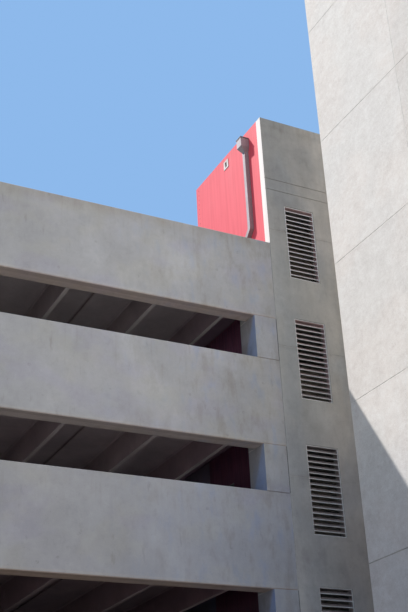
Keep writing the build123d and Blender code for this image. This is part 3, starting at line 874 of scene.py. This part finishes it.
def louvre_screws(material):
    """Screw heads in the sides of every louvre frame."""
    radius, height, sides = 0.007, 0.003, 8
    unit_width, unit_height, frame_width = 0.817, 1.984, 0.024
    screws_up = 4
    inset = 0.12  # from the frame's ends
    step_up = (unit_height - 2 * inset) / (screws_up - 1)
    units_up = storeys + 1
    rows = [(screws_up, (0, 0, step_up)), (2, (unit_width - frame_width, 0, 0)), (units_up, (0, 0, storey))]
    for side, left in (("left", louvre_low.x), ("right", louvre_high.x - unit_width)):
        place = (left + frame_width / 2, louvre_low.y, louvre_low.z + inset)
        mesh = moved(dome(radius, height, sides, (0, -1, 0)), place)
        repeat(f"{side}_louvre_screws", mesh, rows, material)


def dress(material, *nodes):
    """Give CAD nodes a finish."""
    for name in nodes:
        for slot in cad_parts[name].material_slots:
            slot.material = material


def numbered(stem):
    return [f"{stem}_{number}" for number in range(1, storeys + 1)]


facade = facade_finish()
for stem in ("front_spandrels", "rear_spandrels", "end_spandrels", "front_pier", "rear_pier"):
    dress(facade, *numbered(stem))
dress(deck_finish(), *numbered("deck"))
dress(core_finish(), "core_front_left_panel", "core_front_right_panel", "core_front_lintels", "core_far_wall",
      "core_rear_wall", "core_floors")
dress(red_finish(), "core_side_wall", "core_side_lintels")
dress(tower_finish(), "tower_left_wall", "tower_right_wall", "tower_front_wall", "tower_rear_wall",
      "tower_rear_lintels", "tower_floors", "link_slabs", "link_parapets")
dress(roof_finish(), "core_roof", "tower_roof")
aluminium = louvre_finish()
dress(aluminium, "core_louvres")
dress(steel_finish(), "rainwater_head", "downpipe", "roof_scupper")

deck_sealant(sealant_finish("dark joint sealant", (0.030, 0.028, 0.028), 91))
panel_sealant(sealant_finish("grey joint sealant", (0.34, 0.34, 0.35), 93, between_bands=0.3))
tower_sealant(sealant_finish("pale joint sealant", (0.56, 0.53, 0.50), 97, low_shade=0.5))
wall_fixings(sealant_finish("painted caps", (0.45, 0.055, 0.08), 95))
louvre_screws(aluminium)


def make_camera():
    """The camera stands near the ground and looks up at the right end of the front."""
    image_height = 612
    focal_pixels = 1073.07
    eye = (core_x - 11.674, front_y - 18.462, 1.55)
    yaw, pitch, roll = math.radians(28.045), math.radians(27.316), math.radians(-2.804)
    lens = bpy.data.cameras.new("camera")
    lens.sensor_width = 36
    lens.lens = focal_pixels / image_height * lens.sensor_width
    lens.clip_end = 1500
    camera = link(bpy.data.objects.new("camera", lens))
    turn = Matrix.Rotation(-yaw, 4, "Z")
    turn = turn @ Matrix.Rotation(math.pi / 2 + pitch, 4, "X") @ Matrix.Rotation(roll, 4, "Z")
    camera.matrix_world = Matrix.Translation(eye) @ turn
    bpy.context.scene.camera = camera


def make_floor():
    """A plain pale floor."""
    half = 400
    height = -0.004  # just below the feet of the piers
    shape = bmesh.new()
    corners = ((-half, -half), (half, -half), (half, half), (-half, half))
    shape.faces.new([shape.verts.new((x, y, height)) for x, y in corners])
    mesh = bpy.data.meshes.new("floor")
    shape.to_mesh(mesh)
    shape.free()
    floor = link(bpy.data.objects.new("floor", mesh))
    material = bpy.data.materials.new("pale floor")
    material.use_nodes = True
    shader = material.node_tree.nodes["Principled BSDF"]
    shader.inputs["Base Color"].default_value = (0.43, 0.42, 0.41, 1)
    shader.inputs["Roughness"].default_value = 0.9
    mesh.materials.append(material)


def make_light():
    """A key light from behind the front's left end, a broad soft one from before it, and an even surround."""
    lamps = (
        ("key", (-1.0, 1.0, 1.70), 4.45, (1.0, 0.965, 0.91), 0.6),
        ("soft front", (0.04, -1.0, 0.75), 1.3, (1.0, 0.96, 0.92), 45.0),
    )
    for name, toward_light, strength, colour, spread in lamps:
        light = bpy.data.lights.new(name, "SUN")
        light.energy = strength
        light.color = colour
        light.angle = math.radians(spread)
        lamp = link(bpy.data.objects.new(name, light))
        lamp.rotation_euler = Vector(toward_light).to_track_quat("Z", "Y").to_euler()

    world = bpy.data.worlds.new("surround")
    world.use_nodes = True
    graph = Graph(world.node_tree)
    world.node_tree.nodes.clear()
    even = graph.node("ShaderNodeBackground", None, {"Color": (0.55, 0.76, 1.0, 1), "Strength": 0.43})
    backdrop = graph.node("ShaderNodeBackground", None, {"Color": (0.27, 0.485, 0.83, 1), "Strength": 1.0})
    camera_ray, glossy_ray, transmission_ray = (graph.node("ShaderNodeLightPath", output=f"Is {kind} Ray")
                                                for kind in ("Camera", "Glossy", "Transmission"))
    seen = camera_ray.at_least(glossy_ray).at_least(transmission_ray)
    shown = graph.node("ShaderNodeMixShader", None, {0: seen, 1: even, 2: backdrop})
    graph.node("ShaderNodeOutputWorld", None, {"Surface": shown})
    bpy.context.scene.world = world


make_camera()
make_floor()
make_light()
bpy.context.scene.view_settings.view_transform = "Standard"


def plain(box):
    return [[round(value, 5) for value in corner] for corner in box]
